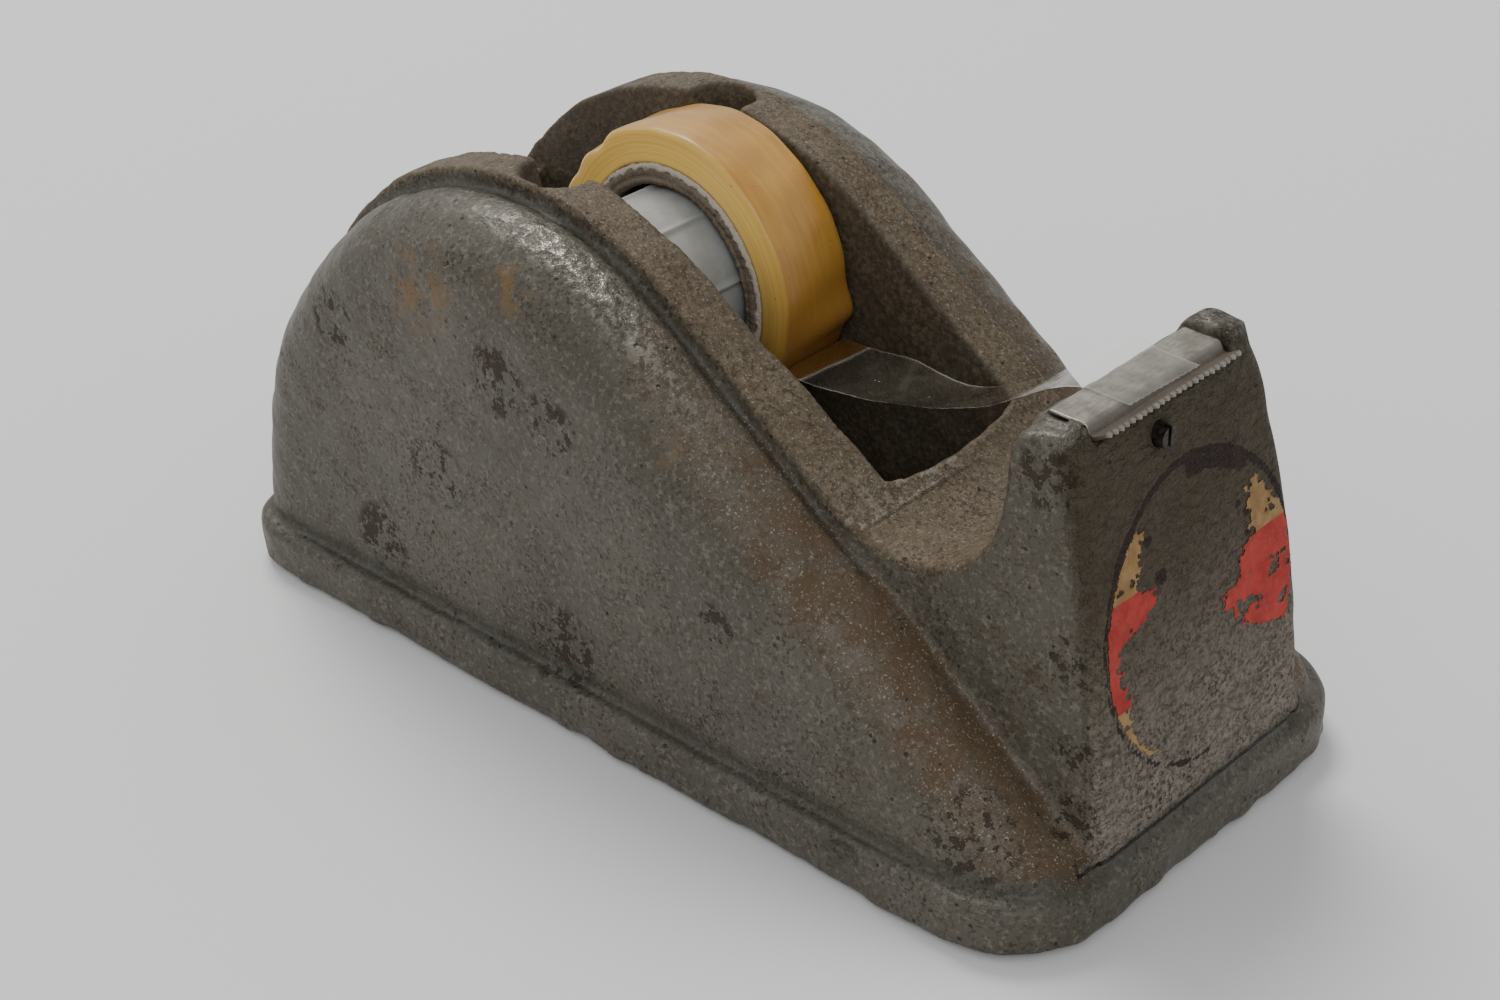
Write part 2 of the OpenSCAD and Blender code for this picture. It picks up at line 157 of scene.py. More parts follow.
def tower_half(y, z):
    """Half width of the tower at height z, on the side that y is on."""
    near = TOWER_NEAR[0] + (TOWER_NEAR[1] - TOWER_NEAR[0]) * z / TOWER_H
    far = TOWER_FAR[0] + (TOWER_FAR[1] - TOWER_FAR[0]) * z / TOWER_H + 0.9 * bell(z, 34, 18)
    return np.where(y < 0, near, far)


def slab(x, y, z):
    """The narrow part in the middle, from the dome down the slope, over the saddle and up the tower."""
    back = TOWER_BACK + 0.7 * step(z, 45, 60) - x
    front = np.hypot(x - FRONT_ARC, z - FRONT_DROP) - FRONT_BOW
    knob = np.where(y < 0, -1.3, 0.5) * step(np.abs(y), 12.6, 14.5)
    tower = round_max(round_max(back, z - TOWER_H - knob, 3.0), front, 1.4)
    side = np.minimum(np.minimum(dome(x, z), tower), saddle_fillet(x, z))
    side = np.maximum(side, front)
    forward = step(x, 28, 44)
    half = SLAB_W / 2 * (1 - forward) + tower_half(y, z) * forward
    far_top = step(z, 50, 60) * (y > 0) * step(x, 50, 56)
    edge = 0.7 + 0.5 * forward + 1.7 * step(x, 55, 60) + 2.2 * far_top
    return round_max(side, np.abs(y) - half, edge)


def bay(x, y, z):
    """The pocket that holds the roll: round under the roll, its floor rising to the front."""
    front = BAY_FRONT - BAY_BOW * (2 * y / BAY_W) ** 2
    turn = math.radians(40)
    foot_x, foot_z = AXIS_X + BAY_R * math.sin(turn), AXIS_Z - BAY_R * math.cos(turn)
    run = math.hypot(BAY_FRONT - foot_x, 26 - foot_z)
    floor = ((x - foot_x) * (26 - foot_z) - (z - foot_z) * (BAY_FRONT - foot_x)) / run
    drum = np.hypot(x - AXIS_X, z - AXIS_Z) - BAY_R
    ahead = np.maximum(np.maximum(floor, x - front), AXIS_X - x)
    above = np.maximum(AXIS_Z - z, x - front)
    side = np.maximum(np.minimum(np.minimum(drum, ahead), above), BAY_BACK - x)
    half = BAY_W / 2 - np.where(y < 0, 2.4 * step(x, 6, 32), 0.0)
    return np.maximum(side, np.abs(y) - half)


def axle_slots(x, y, z):
    """The open slots in both walls that the axle drops into, leaning back a little."""
    u = (x - AXIS_X) * math.cos(SLOT_LEAN) + (z - AXIS_Z) * math.sin(SLOT_LEAN)
    w = -(x - AXIS_X) * math.sin(SLOT_LEAN) + (z - AXIS_Z) * math.cos(SLOT_LEAN)
    across = np.hypot(u, np.maximum(np.abs(y) - (SLOT_REACH - SLOT_R), 0)) - SLOT_R
    return np.maximum(across, np.hypot(u, np.minimum(w, 0)) - SLOT_R)


def waves(x, y, z, length, count, seed):
    """Smooth noise of about unit size: a sum of sine waves in random directions."""
    rng = np.random.default_rng(seed)
    total = 0
    for _ in range(count):
        k = rng.normal(size=3)
        k *= 2 * math.pi / (np.linalg.norm(k) * length * rng.uniform(0.7, 1.5))
        total = total + np.sin(k[0] * x + k[1] * y + k[2] * z + rng.uniform(0, 6.28))
    return total / math.sqrt(count / 2)


# Blow-holes in the skin of the casting: place, radius. They are longer along x by HOLE_STRETCH.
HOLE_STRETCH = 1.4
BLOW_HOLES = [((43.5, -35.3, 4.6), 1.9), ((70.9, 19.5, 7.2), 1.0), ((-21.0, 30.5, 58.0), 1.0),
              ((61.5, 17.0, 60.9), 0.7), ((34.0, -20.5, 36.0), 0.6)]
# Flecks of glue left inside the label's ring: y, height, radius.
GLUE_FLECKS = [(-5.2, 38.4, 1.3), (-6.6, 43.2, 1.0), (12.0, 38.8, 0.9), (11.8, 36.4, 0.9),
               (10.6, 40.5, 0.7)]


def hole_gap(x, y, z, centre):
    """How far a point is from a blow-hole's centre."""
    return np.sqrt(((x - centre[0]) / HOLE_STRETCH) ** 2 + (y - centre[1]) ** 2 + (z - centre[2]) ** 2)


def body(x, y, z):
    """Cheeks and slab as one form, before anything is cut from it."""
    fillet = 0.6 + 0.6 * step(x, 26, 52)
    return round_min(cheeks(x, y, z), slab(x, y, z), fillet)


def casting(x, y, z):
    """The whole casting: form, flange, pocket, slots, blade seat, seams and the skin's unevenness."""
    form = body(x, y, z)
    ragged = 0.12 * waves(x, y, z, 5, 6, 5) * step(-z, -2.5, 0)
    foot = plan(x, y, FLANGE_L, FLANGE_W, FRONT_CORNER, BACK_CORNER) + 0.3 + ragged
    solid = round_min(form, round_max(foot, z - FLANGE_H, FLANGE_EDGE), 0.6)
    solid = round_max(solid, -bay(x, y, z), 0.5 + 0.4 * step(x, 22, 31))
    solid = round_max(solid, -axle_slots(x, y, z), 0.6)
    across = np.abs(y) - BLADE_W / 2 - 0.3
    seat = np.maximum(np.maximum(50 - x, across), BLADE_Z - 0.75 - z)
    apron = np.maximum(np.maximum(BLADE_BEND - 0.4 - x, across), BLADE_Z - 2.1 - z)
    solid = round_max(solid, -np.minimum(seat, apron), 0.5)
    seam = np.hypot(np.abs(y) - SLAB_W / 2 - SEAM_GAP, cheek_side(x, z) - 0.25) - 0.6
    solid = round_max(solid, -np.maximum(seam, x - SEAM_END), 0.3)
    grub = np.maximum(np.hypot(y - GRUB_Y, z - GRUB_Z) - GRUB_R, 58 - x)
    solid = round_max(solid, -grub, 0.5)
    for centre, r in BLOW_HOLES:
        solid = round_max(solid, r - hole_gap(x, y, z, centre), 0.3)
    solid = solid + 0.10 * waves(x, y, z, 14, 8, 1) + 0.05 * waves(x, y, z, 4.5, 10, 2) + 0.12
    return round_max(solid, -z, 0.6)


def mesh_from_distance(distance, low, high, cell):
    """Surface nets: one vertex in every cell the surface crosses, pulled onto the surface."""
    axes = [np.arange(a, b + cell, cell, dtype=np.float32) for a, b in zip(low, high)]
    gx, gy, gz = np.meshgrid(*axes, indexing="ij", sparse=True)
    inside = np.asarray(distance(gx, gy, gz)) < 0
    ends = (slice(0, -1), slice(1, None))
    count = sum(inside[i, j, k].astype(np.int8) for i in ends for j in ends for k in ends)
    mixed = (count > 0) & (count < 8)
    ids = np.full(mixed.shape, -1, np.int64)
    ids[mixed] = np.arange(mixed.sum())
    points = np.argwhere(mixed) * cell + np.array([a[0] for a in axes]) + cell / 2
    quads = []
    for axis in range(3):
        others = [a for a in range(3) if a != axis]
        near = [slice(1, -1)] * 3
        far = [slice(1, -1)] * 3
        near[axis], far[axis] = slice(0, -1), slice(1, None)
        a, b = inside[tuple(near)], inside[tuple(far)]
        at = np.argwhere(a != b)
        leaving = a[a != b]
        for other in others:
            at[:, other] += 1
        ring = [(-1, -1), (0, -1), (0, 0), (-1, 0)]
        corner = []
        for du, dv in ring:
            c = at.copy()
            c[:, others[0]] += du
            c[:, others[1]] += dv
            corner.append(ids[c[:, 0], c[:, 1], c[:, 2]])
        q = np.stack(corner, 1)
        flip = leaving if axis == 1 else ~leaving
        q[flip] = q[flip][:, ::-1]
        quads.append(q)
    quads = np.concatenate(quads)
    quads = quads[(quads >= 0).all(1)]

    def pull(p, times):
        """Moves points onto the surface, along the distance's gradient."""
        for _ in range(times):
            x, y, z = p.T
            d = distance(x, y, z)
            h = 0.02
            ahead = (distance(x + h, y, z), distance(x, y + h, z), distance(x, y, z + h))
            grad = np.stack([a - d for a in ahead], 1) / h
            size = np.maximum((grad**2).sum(1), 0.25)
            p = p - np.clip(d / size, -cell, cell)[:, None] * grad
        return p

    points = pull(points, 3)
    a, b = quads.ravel(), np.roll(quads, -1, axis=1).ravel()
    degree = np.bincount(a, minlength=len(points)) + np.bincount(b, minlength=len(points))
    for _ in range(2):
        near = [np.bincount(a, points[b, i], len(points)) for i in range(3)]
        far = [np.bincount(b, points[a, i], len(points)) for i in range(3)]
        total = np.stack([one + other for one, other in zip(near, far)], 1)
        points = points * 0.5 + total / degree[:, None] * 0.5
        points = pull(points, 1)
    return points, quads


def make_object(name, points, faces, material=None, lift=FOOT):
    """A mesh object from points in mm above the casting's bottom edge."""
    points = (np.asarray(points, float) + np.array([0, 0, lift])) * MM
    mesh = bpy.data.meshes.new(name)
    mesh.from_pydata(points.tolist(), [], faces.tolist() if hasattr(faces, "tolist") else faces)
    mesh.update()
    mesh.polygons.foreach_set("use_smooth", [True] * len(mesh.polygons))
    ob = bpy.data.objects.new(name, mesh)
    bpy.context.scene.collection.objects.link(ob)
    if material:
        mesh.materials.append(material)
    return ob


def paint_attribute(ob, name, values):
    """Stores one number per point for the materials to read."""
    layer = ob.data.attributes.new(name, "FLOAT", "POINT")
    layer.data.foreach_set("value", np.asarray(values, np.float32))


# ---------------- material building
class Nodes:
    """A short way to write a node material. Lengths in it are millimetres."""

    def __init__(self, name):
        self.mat = bpy.data.materials.new(name)
        self.mat.use_nodes = True
        self.tree = self.mat.node_tree
        self.shader = self.tree.nodes["Principled BSDF"]
        coords = self.tree.nodes.new("ShaderNodeTexCoord")
        self.mm = self.node("ShaderNodeVectorMath", operation="SCALE", Vector=coords.outputs["Object"],
                            Scale=1 / MM)

    def put(self, socket, value):
        if isinstance(value, bpy.types.Node):
            value = value.outputs[0]
        if isinstance(value, bpy.types.NodeSocket):
            self.tree.links.new(value, socket)
        elif socket.type == "RGBA" and len(value) == 3:
            socket.default_value = (*value, 1)
        else:
            socket.default_value = value

    def node(self, kind, **inputs):
        made = self.tree.nodes.new(kind)
        for key, value in inputs.items():
            if hasattr(made, key) and key not in made.inputs:
                setattr(made, key, value)
            else:
                self.put(made.inputs[key], value)
        return made

    def set(self, **inputs):
        for key, value in inputs.items():
            self.put(self.shader.inputs[key.replace("_", " ")], value)

    def noise(self, size, detail=3.0, rough=0.55, distortion=0.0, stretch=None):
        """Noise whose features are about size mm across, 0 to 1."""
        where = self.mm
        if stretch:
            where = self.node("ShaderNodeVectorMath", operation="MULTIPLY")
            self.put(where.inputs[0], self.mm)
            self.put(where.inputs[1], stretch)
        return self.node("ShaderNodeTexNoise", Vector=where, Scale=1 / size, Detail=detail, Roughness=rough,
                         Distortion=distortion).outputs["Fac"]

    def rings(self, name, size):
        """Noise in bands along the point attribute of that name, each about size mm wide."""
        return self.node("ShaderNodeTexNoise", noise_dimensions="1D", W=self.attribute(name), Scale=1 / size,
                         Detail=2.0).outputs["Fac"]

    def cells(self, size):
        """Distance to the nearest of points scattered about size mm apart."""
        return self.node("ShaderNodeTexVoronoi", Vector=self.mm, Scale=1 / size).outputs["Distance"]

    def range(self, value, low, high, to_low=0.0, to_high=1.0):
        """A smooth ramp of value from low..high to to_low..to_high."""
        made = self.node("ShaderNodeMapRange", interpolation_type="SMOOTHSTEP")
        keys = ("Value", "From Min", "From Max", "To Min", "To Max")
        for key, v in zip(keys, (value, low, high, to_low, to_high)):
            self.put(made.inputs[key], v)
        return made.outputs["Result"]

    def math(self, kind, a, b=0.0, clamp=False):
        made = self.tree.nodes.new("ShaderNodeMath")
        made.operation, made.use_clamp = kind, clamp
        self.put(made.inputs[0], a)
        self.put(made.inputs[1], b)
        return made.outputs[0]

    def times(self, a, b):
        return self.math("MULTIPLY", a, b)

    def plus(self, a, b):
        return self.math("ADD", a, b)

    def mix(self, factor, a, b):
        made = self.tree.nodes.new("ShaderNodeMix")
        made.data_type = "RGBA"
        self.put(made.inputs[0], factor)
        self.put(made.inputs[6], a)
        self.put(made.inputs[7], b)
        return made.outputs[2]

    def attribute(self, name):
        return self.node("ShaderNodeAttribute", attribute_name=name).outputs["Fac"]

    def spot(self, place, radius):
        """1 at place, falling to 0 at radius."""
        gap = self.node("ShaderNodeVectorMath", operation="DISTANCE")
        self.put(gap.inputs[0], self.mm)
        self.put(gap.inputs[1], place)
        return self.range(gap.outputs["Value"], radius * 0.2, radius, 1.0, 0.0)

    def spots(self, places):
        """The highest of the spots at each (place, radius)."""
        first, *others = [self.spot(*one) for one in places]
        for one in others:
            first = self.math("MAXIMUM", first, one)
        return first

    def bump(self, height, distance_mm, normal=None):
        made = self.node("ShaderNodeBump", Strength=1.0, Distance=distance_mm * MM, Height=height)
        if normal:
            self.put(made.inputs["Normal"], normal)
        return made.outputs["Normal"]


def hammered_paint():
    """Old hammered enamel: neutral grey with fine brown rust specks, browner on slopes and edges, with a
    painted highlight on worn shoulders and painted shade in its recesses.
    """
    m = Nodes("hammered_paint")
    rim, front, inside = m.attribute("rim"), m.attribute("front"), m.attribute("inside")
    slope, bare_metal_and_highlight = m.attribute("slope"), m.attribute("bare_metal_and_highlight")
    grime_and_shade, height = m.attribute("grime_and_shade"), m.attribute("height")
    broad, medium = m.noise(20, 2), m.noise(4.5, 4, 0.6)
    fine, grit = m.noise(0.85, 3, 0.65), m.noise(0.3, 2)
    grey = m.mix(m.range(broad, 0.35, 0.7), (0.072, 0.065, 0.048), (0.092, 0.083, 0.064))
    grey = m.mix(m.range(fine, 0.50, 0.66, 0, 0.55), grey, (0.185, 0.165, 0.132))
    edge = m.mix(m.range(fine, 0.4, 0.7), (0.088, 0.064, 0.036), (0.152, 0.118, 0.071))
    colour = m.mix(m.times(rim, 0.9), grey, edge)
    face = m.mix(m.range(height, 8, 45), (0.270, 0.232, 0.186), (0.060, 0.042, 0.018))
    face = m.mix(m.range(fine, 0.4, 0.7, 0, 0.45), face, (0.040, 0.029, 0.016))
    colour = m.mix(m.times(front, m.range(medium, 0.2, 0.8, 0.75, 1.0)), colour, face)
    wrinkles = m.noise(1.15, 3, 0.65, distortion=0.8, stretch=(1.0, 0.65, 1.2))
    crease = m.times(front, m.range(wrinkles, 0.36, 0.52, 0.5, 0.0))
    colour = m.mix(crease, colour, (0.030, 0.022, 0.013))
    # rust specks: faint and fine everywhere, crowding together towards slopes and edges
    speck = m.plus(m.times(m.noise(0.55, 3, 0.6), 0.55), m.times(medium, 0.6))
    brown = m.mix(m.range(grit, 0.4, 0.6), (0.045, 0.028, 0.016), (0.115, 0.078, 0.046))
    crowd = m.plus(m.times(slope, 0.11), m.times(rim, 0.035))
    crowd = m.plus(crowd, m.times(m.range(m.noise(13, 3), 0.5, 0.8), 0.035))
    rust = m.range(m.plus(speck, crowd), 0.665, 0.720)
    colour = m.mix(m.times(rust, 0.7), colour, brown)
    dots, spread = m.noise(0.6, 2, 0.7), m.noise(7, 3)
    sprinkle = m.times(m.range(dots, 0.53, 0.61), m.range(spread, 0.35, 0.7, 0.4, 0.95))
    colour = m.mix(sprinkle, colour, (0.036, 0.023, 0.013))
    colour = m.mix(m.times(slope, m.range(medium, 0.25, 0.7, 0.3, 0.88)), colour, (0.082, 0.051, 0.024))
    smudge = m.times(m.range(m.noise(9, 4, 0.6), 0.54, 0.68), m.range(fine, 0.35, 0.6))
    colour = m.mix(m.times(smudge, m.plus(0.22, m.times(slope, 0.3))), colour, (0.085, 0.058, 0.036))
    # chips through to dark iron, in a few clusters, and tan stains
    flake = m.range(m.plus(m.noise(1.5, 5, 0.7), m.times(m.noise(5, 2), 0.25)), 0.655, 0.685)
    chipped = m.times(m.range(m.spots(CHIPS), 0.1, 0.5), flake)
    iron = m.mix(grit, (0.018, 0.010, 0.005), (0.048, 0.028, 0.015))
    colour = m.mix(m.times(chipped, 0.9), colour, iron)
    stain = m.times(m.spots(STAINS), m.range(m.noise(2.2, 4, 0.6), 0.44, 0.58, 0, 0.8))
    colour = m.mix(stain, colour, (0.15, 0.088, 0.034))
    # pin holes
    pits = m.times(m.range(m.cells(2.4), 0.07, 0.12, 1, 0), m.range(m.noise(9, 2), 0.40, 0.52))
    colour = m.mix(m.times(pits, 0.85), colour, (0.016, 0.012, 0.009))
    # grime and painted shade: near black in the flange groove, the seams, round the knobs and in the
    # blow-holes
    colour = m.mix(m.times(grime_and_shade, m.range(medium, 0.2, 0.8, 0.5, 1.0)), colour, (0.022, 0.025, 0.019))
    dark = m.mix(m.range(fine, 0.35, 0.7), (0.056, 0.042, 0.026), (0.140, 0.108, 0.068))
    dark = m.mix(m.range(medium, 0.3, 0.7, 0, 0.6), dark, (0.066, 0.049, 0.032))
    colour = m.mix(inside, colour, dark)
    # the dark glue ring left by the round label
    ring = m.attribute("ring")
    glue = m.range(m.plus(ring, m.times(m.noise(1.6, 4, 0.7), 1.2)), 1.08, 1.18)
    crust = m.mix(m.range(grit, 0.4, 0.6), (0.016, 0.009, 0.008), (0.038, 0.020, 0.015))
    colour = m.mix(m.times(glue, 0.92), colour, crust)
    # painted highlight on worn bare metal: light mottling on the shoulders, the saddle and the knobs
    polish_and_highlight = m.times(bare_metal_and_highlight, m.range(m.noise(1.3, 4, 0.65), 0.46, 0.60))
    colour = m.mix(m.times(polish_and_highlight, 0.65), colour, (0.38, 0.355, 0.30))
    glint = m.times(m.range(m.noise(0.32, 2), 0.62, 0.72), m.plus(m.plus(slope, bare_metal_and_highlight), m.times(rim, 0.6)))
    glint = m.math("MINIMUM", glint, 0.4)
    colour = m.mix(glint, colour, (0.42, 0.39, 0.33))
    matt = m.math("MAXIMUM", m.math("MAXIMUM", inside, chipped), rust)
    rough = m.plus(m.range(fine, 0.2, 0.8, 0.36, 0.55), m.times(matt, 0.25))
    rough = m.plus(rough, m.plus(m.times(m.plus(front, rim), 0.2), m.times(glue, 0.2)))
    rough = m.math("SUBTRACT", rough, m.times(polish_and_highlight, 0.22), clamp=True)
    metallic = m.plus(0.1, m.times(polish_and_highlight, 0.6))
    m.set(Base_Color=colour, Roughness=rough, Metallic=metallic, Specular_IOR_Level=0.34)
    skin = m.bump(m.noise(5.5, 2), 0.28)
    skin = m.bump(m.times(bare_metal_and_highlight, m.noise(1.3, 3, 0.6)), 0.6, normal=skin)
    skin = m.bump(m.noise(1.2, 3, 0.6), 0.14, normal=skin)
    coarse = m.plus(m.plus(inside, m.times(front, 2.6)), rim)
    skin = m.bump(m.times(coarse, m.noise(1.1, 3, 0.6, distortion=0.6)), 0.20, normal=skin)
    skin = m.bump(m.times(coarse, m.noise(0.35, 2)), 0.05, normal=skin)
    skin = m.bump(m.times(front, wrinkles), 1.1, normal=skin)
    skin = m.bump(m.math("MAXIMUM", pits, chipped), -0.22, normal=skin)
    m.set(Normal=skin)
    return m.mat


def simple(name, dark, light, size, low, high, bump_size, bump_mm, **sockets):
    """A material of two colours mixed by noise, with varied roughness and a bump."""
    m = Nodes(name)
    tone = m.noise(size, 4, 0.6)
    colour = m.mix(m.range(tone, 0.35, 0.65), dark, light)
    m.set(Base_Color=colour, Roughness=m.range(m.noise(size * 0.4, 3), 0.3, 0.7, low, high),
          Normal=m.bump(m.noise(bump_size, 3), bump_mm), **sockets)
    return m.mat


def wound_tape():
    """Yellowed film wound on itself: streaks round the outside with a painted satin highlight, thin rings on
    the faces and painted shade on its underside.
    """
    m = Nodes("wound_tape")
    face, worn = m.attribute("face"), m.attribute("low")
    hoop_streaks_and_sheen = m.noise(0.8, 3, 0.6, stretch=(0.06, 1.0, 0.06))
    rings = m.rings("radius", 0.35)
    cloud = m.noise(7, 3, 0.55)
    side = m.mix(m.range(cloud, 0.35, 0.65), (0.44, 0.212, 0.027), (0.50, 0.258, 0.037))
    # lighter streaks round the outside: a painted satin highlight
    side = m.mix(m.range(hoop_streaks_and_sheen, 0.45, 0.75, 0, 0.25), side, (0.70, 0.43, 0.12))
    wound = m.mix(m.range(rings, 0.35, 0.65), (0.92, 0.56, 0.11), (0.97, 0.64, 0.17))
    colour = m.mix(face, side, wound)
    # painted shade: the roll's underside is darker where it faces down into the pocket
    colour = m.mix(m.times(worn, m.range(cloud, 0.2, 0.8, 0.7, 1.0)), colour, (0.17, 0.072, 0.018))
    colour = m.mix(m.range(m.cells(3.2), 0.03, 0.06, 0.6, 0), colour, (0.16, 0.085, 0.03))
    m.set(Base_Color=colour, Roughness=m.range(cloud, 0.3, 0.7, 0.36, 0.50), IOR=1.45,
          Coat_Weight=0.6, Coat_Roughness=0.3, Subsurface_Weight=0.12,
          Subsurface_Radius=(0.004, 0.002, 0.0006), Subsurface_Scale=1.0)
    skin = m.bump(m.times(m.math("SUBTRACT", 1.0, face), hoop_streaks_and_sheen), 0.05)
    m.set(Normal=m.bump(m.times(face, rings), 0.05, normal=skin))
    return m.mat


def paperboard():
    """The core: wound brown board, pale and frayed where its outer ply is torn, with painted shadow at its
    bore.
    """
    m = Nodes("core_board")
    radius = m.attribute("radius")
    fibre = m.noise(0.5, 4, 0.7)
    board = m.mix(m.range(m.rings("radius", 0.5), 0.35, 0.65), (0.115, 0.085, 0.058), (0.21, 0.165, 0.12))
    board = m.mix(m.range(fibre, 0.5, 0.7, 0, 0.6), board, (0.30, 0.25, 0.19))
    frayed = m.range(m.plus(radius, m.times(m.noise(0.9, 3), 1.6)), 15.75, 16.15)
    # painted shadow at the bore, where the core closes round the hub
    inner_edge_shadow = m.range(m.plus(radius, m.times(m.noise(1.4, 3), 0.8)), 13.55, 13.25)
    board = m.mix(frayed, board, (0.50, 0.44, 0.36))
    board = m.mix(m.times(inner_edge_shadow, 0.6), board, (0.09, 0.065, 0.045))
    m.set(Base_Color=board, Roughness=0.9, Normal=m.bump(fibre, 0.25))
    return m.mat


def film():
    """Clear film gone slightly grey: glossy, bright along its cut edges, dusty in places."""
    m = Nodes("film")
    edge, crease = m.attribute("edge"), m.attribute("crease")
    dust = m.times(m.range(m.cells(1.6), 0.05, 0.11, 1, 0), m.range(m.noise(5, 2), 0.45, 0.6))
    haze = m.range(m.noise(6, 4, 0.6, distortion=0.8), 0.35, 0.75)
    pale, amber = m.attribute("pale"), m.attribute("amber")
    alpha = m.plus(m.plus(0.07, m.times(haze, 0.08)), m.plus(m.times(edge, 0.30), m.times(crease, 0.35)))
    alpha = m.plus(alpha, m.plus(m.times(pale, m.plus(0.18, m.times(haze, 0.12))), m.times(amber, 0.6)))
    alpha = m.math("MAXIMUM", alpha, m.times(dust, 0.6), clamp=True)
    colour = m.mix(m.math("MAXIMUM", m.math("MAXIMUM", edge, crease), m.math("MAXIMUM", pale, dust)),
                   (0.30, 0.27, 0.21), (0.74, 0.73, 0.67))
    colour = m.mix(amber, colour, (0.20, 0.095, 0.025))
    m.set(Base_Color=colour, Alpha=alpha, IOR=2.2, Roughness=m.range(haze, 0, 1, 0.08, 0.22))
    m.set(Normal=m.bump(m.noise(6, 2, 0.5, distortion=0.5), 0.08))
    return m.mat


def blade_steel():
    """Satin sheet steel, brown tarnish in the bend and along the ledge, bright on the tooth tips."""
    m = Nodes("blade_steel")
    tip, ledge = m.attribute("tip"), m.attribute("ledge")
    fine, patch = m.noise(0.5, 3, 0.6, stretch=(1.0, 0.25, 1.0)), m.noise(3.0, 4, 0.65)
    steel = m.mix(m.range(patch, 0.35, 0.65), (0.245, 0.226, 0.188), (0.370, 0.345, 0.295))
    stained = m.range(m.plus(patch, m.times(ledge, 0.35)), 0.45, 0.65)
    tarnish = m.times(m.range(ledge, 0.0, 1.0, 0.15, 1.0), stained)
    steel = m.mix(m.times(tarnish, 0.85), steel, (0.050, 0.032, 0.017))
    steel = m.mix(m.times(tip, 0.55), steel, (0.50, 0.48, 0.43))
    m.set(Base_Color=steel, Metallic=m.math("SUBTRACT", 0.95, m.times(tarnish, 0.6)),
          Roughness=m.plus(m.range(fine, 0.3, 0.7, 0.30, 0.42), m.times(tarnish, 0.22)),
          Normal=m.bump(m.plus(fine, m.times(tarnish, m.noise(0.6, 2))), 0.03))
    return m.mat


def label_paper():
    """A red band between cream ones, printed on thin paper, cracked and rubbed."""
    m = Nodes("label_paper")
    band = m.attribute("band")
    rub = m.noise(1.1, 4, 0.65)
    red = m.mix(m.range(m.noise(3, 3), 0.35, 0.65), (0.30, 0.017, 0.012), (0.40, 0.034, 0.023))
    cream = m.mix(m.range(m.noise(2.5, 4, 0.6), 0.35, 0.65), (0.23, 0.125, 0.040), (0.32, 0.195, 0.075))
    colour = m.mix(m.range(band, 0.48, 0.52), cream, red)
    colour = m.mix(m.range(rub, 0.60, 0.66, 0, 0.8), colour, (0.13, 0.105, 0.08))
    m.set(Base_Color=colour, Specular_IOR_Level=0.3, Roughness=m.range(rub, 0.3, 0.7, 0.5, 0.75),
          Normal=m.bump(m.noise(1.0, 3, 0.6, distortion=0.6), 0.14))
    return m.mat


# Where the paint has chipped, and where it is stained tan: centre and radius of each cluster.
CHIPS = [((-46, -33, 45), 6), ((-14, -33, 47), 7), ((-5, -33, 44), 6), ((-27, -33, 29), 7),
         ((22, -33, 27), 4), ((-5, -33, 12), 8), ((60, -30, 14), 8), ((-40, -33, 14), 7),
         ((59, -19, 55), 6), ((56, 17, 60), 5), ((66.5, -20.5, 14), 4), ((65.5, -20, 22), 3.5),
         ((63, -19.5, 34), 4)]
STAINS = [((-27, -33, 55), 9), ((-12, -32, 60), 5), ((13, -31, 47.5), 3.5)]

PAINT = hammered_paint()
STEEL, TAPE, BOARD, FILM, LABEL = blade_steel(), wound_tape(), paperboard(), film(), label_paper()
SCREW = simple("screw_steel", (0.014, 0.011, 0.008), (0.060, 0.048, 0.036), 0.8, 0.4, 0.65, 0.4, 0.05,
               Metallic=0.7)
AXLE = simple("axle_steel", (0.35, 0.34, 0.32), (0.55, 0.54, 0.52), 3, 0.25, 0.4, 1.0, 0.02, Metallic=1.0)
PLATE = simple("plate_steel", (0.02, 0.02, 0.02), (0.05, 0.045, 0.04), 6, 0.4, 0.6, 1.5, 0.05, Metallic=0.3)
FELT = simple("felt", (0.02, 0.045, 0.028), (0.05, 0.085, 0.055), 0.8, 0.85, 1.0, 0.35, 0.25)
HUB = simple("hub_plastic", (0.285, 0.29, 0.272), (0.36, 0.365, 0.347), 6, 0.35, 0.5, 1.2, 0.03)


# ---------------- the casting
def place(ob, body, slot, *nodes):
    """Rides a piece on a body, in place of CAD nodes; its slot argument is not used."""
    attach(ob, body)
    if nodes:
        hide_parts(*nodes)
    return ob


